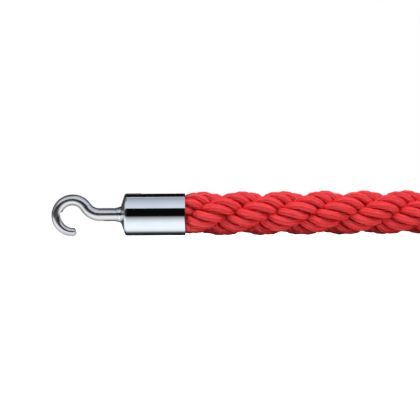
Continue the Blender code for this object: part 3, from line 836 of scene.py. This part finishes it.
lens = bpy.data.cameras.new("camera")
lens.sensor_width = 36
lens.lens = lens.sensor_width * CAMERA_DISTANCE / (FRAME_PIXELS * PIXEL)
lens.clip_end = 40
camera = bpy.data.objects.new("camera", lens)
camera.location = (
    near_mouth.x + (FRAME_PIXELS / 2 - MOUTH_PIXEL) * PIXEL,
    near_mouth.y - CAMERA_DISTANCE,
    near_mouth.z + (AXIS_PIXEL - FRAME_PIXELS / 2) * PIXEL,
)
camera.rotation_euler = (math.pi / 2, CAMERA_ROLL, 0)
scene.collection.objects.link(camera)
scene.camera = camera


def seen_directly(tree):
    """1 for a ray from the eye, off metal or through glass, and 0 for a ray that only lights."""
    ray = tree.nodes.new("ShaderNodeLightPath").outputs
    seen = reckon(tree, "MAXIMUM", ray["Is Camera Ray"], ray["Is Glossy Ray"])
    return reckon(tree, "MAXIMUM", seen, ray["Is Transmission Ray"])


def stage_sheet(name, first, last, finish):
    """A flat sheet of the studio between two corners, level or upright, which isn't part of the object."""
    shape = bmesh.new()
    flat = min(range(3), key=lambda side: abs(last[side] - first[side]))
    wide, deep = (side for side in range(3) if side != flat)
    corners = []
    for at_wide, at_deep in ((first, first), (last, first), (last, last), (first, last)):
        spot = list(first)
        spot[wide], spot[deep] = at_wide[wide], at_deep[deep]
        corners.append(shape.verts.new(spot))
    shape.faces.new(corners)
    mesh = bpy.data.meshes.new(name)
    shape.to_mesh(mesh)
    shape.free()
    mesh.materials.append(finish)
    sheet = bpy.data.objects.new(name, mesh)
    scene.collection.objects.link(sheet)
    return sheet


white_floor, tree, shader = new_finish("white_floor")
paper_grain = cloudiness(tree, object_place(tree), 40, 3.0)
feed(tree, shader.inputs["Base Color"], colour_between(tree, paper_grain, FLOOR_WHITE, FLOOR_PAPER))
shader.inputs["Roughness"].default_value = 1.0
shader.inputs["Specular IOR Level"].default_value = 0.0
shader.inputs["Emission Color"].default_value = (1, 1, 1, 1)
feed(tree, shader.inputs["Emission Strength"], reckon(tree, "MULTIPLY", seen_directly(tree), FLOOR_GLOW))
half_floor = FLOOR_SIZE / 2
stage_sheet("floor", (-half_floor, -half_floor, 0), (half_floor, half_floor, 0), white_floor)


def card_finish(name, upright, shades, tint):
    """A glowing material, shaded along the card's height or depth."""
    finish = bpy.data.materials.new(name)
    finish.use_nodes = True
    tree = finish.node_tree
    tree.nodes.clear()
    split = tree.nodes.new("ShaderNodeSeparateXYZ")
    tree.links.new(object_place(tree), split.inputs[0])
    place = split.outputs["Z"] if upright else reckon(tree, "SUBTRACT", split.outputs["Y"], near_mouth.y)
    reach = tree.nodes.new("ShaderNodeMapRange")
    reach.inputs["From Min"].default_value = shades[0][0]
    reach.inputs["From Max"].default_value = shades[-1][0]
    tree.links.new(place, reach.inputs["Value"])
    ramp = tree.nodes.new("ShaderNodeValToRGB")
    tree.links.new(reach.outputs["Result"], ramp.inputs["Fac"])
    stops = ramp.color_ramp.elements
    for _ in shades[2:]:
        stops.new(0.5)
    for stop, (mark, level) in zip(stops, shades):
        stop.position = (mark - shades[0][0]) / (shades[-1][0] - shades[0][0])
        stop.color = (*(level * part for part in tint), 1)
    glow = tree.nodes.new("ShaderNodeEmission")
    tree.links.new(ramp.outputs["Color"], glow.inputs["Color"])
    output = tree.nodes.new("ShaderNodeOutputMaterial")
    tree.links.new(glow.outputs["Emission"], output.inputs["Surface"])
    return finish


under_mouth = Vector((near_mouth.x, near_mouth.y, 0))
for name, (first, last, shades, tint) in CARDS.items():
    finish = card_finish(f"{name}_card", last[2] > first[2], shades, tint)
    card = stage_sheet(f"{name}_card", under_mouth + Vector(first), under_mouth + Vector(last), finish)
    card.visible_camera = False
    card.visible_diffuse = False
    card.visible_shadow = False
    card.visible_transmission = False

lamp = bpy.data.lights.new("overhead_lamp", "AREA")
lamp.shape = "RECTANGLE"
lamp.size = LAMP_LENGTH
lamp.size_y = LAMP_DEPTH
lamp.energy = LAMP_POWER
lamp_object = bpy.data.objects.new("overhead_lamp", lamp)
lamp_object.location = (near_mouth.x + LAMP_ALONG, near_mouth.y + LAMP_FORWARD, LAMP_HEIGHT)
lamp_object.visible_camera = False
lamp_object.visible_glossy = False
scene.collection.objects.link(lamp_object)

room = bpy.data.worlds.new("white_room")
room.use_nodes = True
scene.world = room
tree = room.node_tree
background = tree.nodes["Background"]
background.inputs["Color"].default_value = (1, 1, 1, 1)
feed(tree, background.inputs["Strength"], value_between(tree, seen_directly(tree), ROOM_LIGHT, 1.0))
